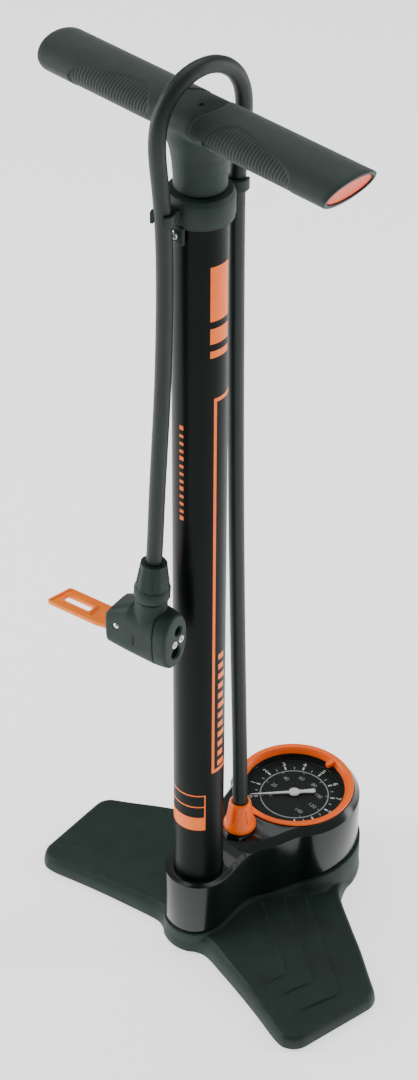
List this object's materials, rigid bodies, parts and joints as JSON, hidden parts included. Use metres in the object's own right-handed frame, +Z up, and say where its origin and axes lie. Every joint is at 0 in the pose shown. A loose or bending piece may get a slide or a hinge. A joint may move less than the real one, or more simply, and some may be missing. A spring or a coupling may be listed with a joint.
{
  "type": "floor bike pump",
  "caption": "Floor bike pump: T-handle and rod in a tall barrel, swept two-foot base with a pressure gauge, hose looped over the handle and a lever valve head.",
  "frame": {"origin": "on the floor under the barrel's axis, on the underside of the front foot pad", "axes": "+Z up the barrel, +X along the T-handle towards the right foot, +Y from the barrel to the gauge"},
  "size_m": [0.283, 0.2142, 0.7004],
  "materials": {
    "textured_plastic": "fine spark-eroded texture, near black",
    "gloss_plastic": "polished, near black",
    "grip": "soft matte, near black",
    "barrel_enamel": "satin black enamel with orange stripes",
    "hose_rubber": "smooth extruded, satin",
    "seal_rubber": "matte",
    "nylon": "natural, moulded",
    "orange_plastic": "satin, moulded",
    "lever_plastic": "satin, moulded",
    "coral_plastic": "satin, moulded",
    "white_plastic": "satin white",
    "dial": "matt print",
    "clear_lens": "clear acrylic",
    "zinc_steel": "zinc plated",
    "chromed_steel": "polished",
    "cast_alloy": "as cast",
    "brass": "machined"
  },
  "bodies": {
    "pump_stand": {"base_plate": "textured_plastic", "base_cover": "gloss_plastic", "base_screw_1": "zinc_steel", "base_screw_2": "zinc_steel", "base_screw_3": "zinc_steel", "base_screw_4": "zinc_steel", "foot_pad_front": "seal_rubber", "foot_pad_left": "seal_rubber", "foot_pad_right": "seal_rubber", "foot_pad_rear": "seal_rubber", "barrel": "barrel_enamel", "barrel_collar": "textured_plastic", "collar_screw": "zinc_steel", "rod_guide_bush": "nylon", "rod_bumper": "seal_rubber", "valve_block": "cast_alloy", "block_o_ring": "seal_rubber", "check_valve_spring": "zinc_steel", "check_valve_cage": "cast_alloy", "hose_spigot": "brass", "hose_nut": "orange_plastic", "gauge_pipe": "brass", "gauge_case": "zinc_steel", "gauge_socket": "brass", "bourdon_tube": "brass", "gauge_movement": "brass", "dial_plate": "dial", "gauge_lens": "clear_lens", "hose": "hose_rubber", "head_sleeve": "textured_plastic", "head_body": "textured_plastic", "head_cap": "textured_plastic", "valve_seal_small": "seal_rubber", "valve_seal_large": "seal_rubber", "face_ring_small": "white_plastic", "face_ring_large": "white_plastic", "lever_pin": "chromed_steel"},
    "handle": {"handle_core": "textured_plastic", "handle_insert": "brass", "grip_left": "grip", "grip_right": "grip", "end_cap_left": "coral_plastic", "end_cap_right": "coral_plastic", "piston_rod": "chromed_steel", "piston": "nylon", "piston_seal": "seal_rubber", "piston_nut": "zinc_steel"},
    "needle": {"gauge_needle": "white_plastic"},
    "bezel": {"gauge_bezel": "orange_plastic"},
    "check_valve": {"check_valve_disc": "seal_rubber"},
    "head_lever": {"head_lever": "lever_plastic"},
    "head_plunger": {"head_plunger": "nylon"}
  },
  "joints": [
    {"name": "handle_slide", "type": "slide", "parent": "pump_stand", "child": "handle", "axis": [0, 0, 1], "range_m": [0, 0.5], "deforming": ["hose"]},
    {"name": "needle_turn", "type": "hinge", "parent": "pump_stand", "child": "needle", "pos_m": [0, 0.0985, 0.071], "axis": [0, 0, 1], "range_deg": [-276, 0], "stiffness_Nm_per_rad": 0.0005},
    {"name": "bezel_turn", "type": "hinge", "parent": "pump_stand", "child": "bezel", "pos_m": [0, 0.0985, 0.0784], "axis": [0, 0, 1], "continuous": true},
    {"name": "check_lift", "type": "slide", "parent": "pump_stand", "child": "check_valve", "axis": [0, 0, 1], "range_m": [0, 0.0014], "stiffness_N_per_m": 60, "deforming": ["check_valve_spring"]},
    {"name": "lever_flip", "type": "hinge", "parent": "pump_stand", "child": "head_lever", "pos_m": [-0.02106, -0.04506, 0.3077], "axis": [-0.1822, 0.9833, 0], "range_deg": [0, 88]},
    {"name": "plunger_squeeze", "type": "slide", "parent": "pump_stand", "child": "head_plunger", "axis": [0.9833, 0.1822, 0], "range_m": [0, 0.0028]}
  ],
  "couplings": [
    {"joint": "plunger_squeeze", "follows": "lever_flip", "m_per_rad": 0.0017579}
  ]
}
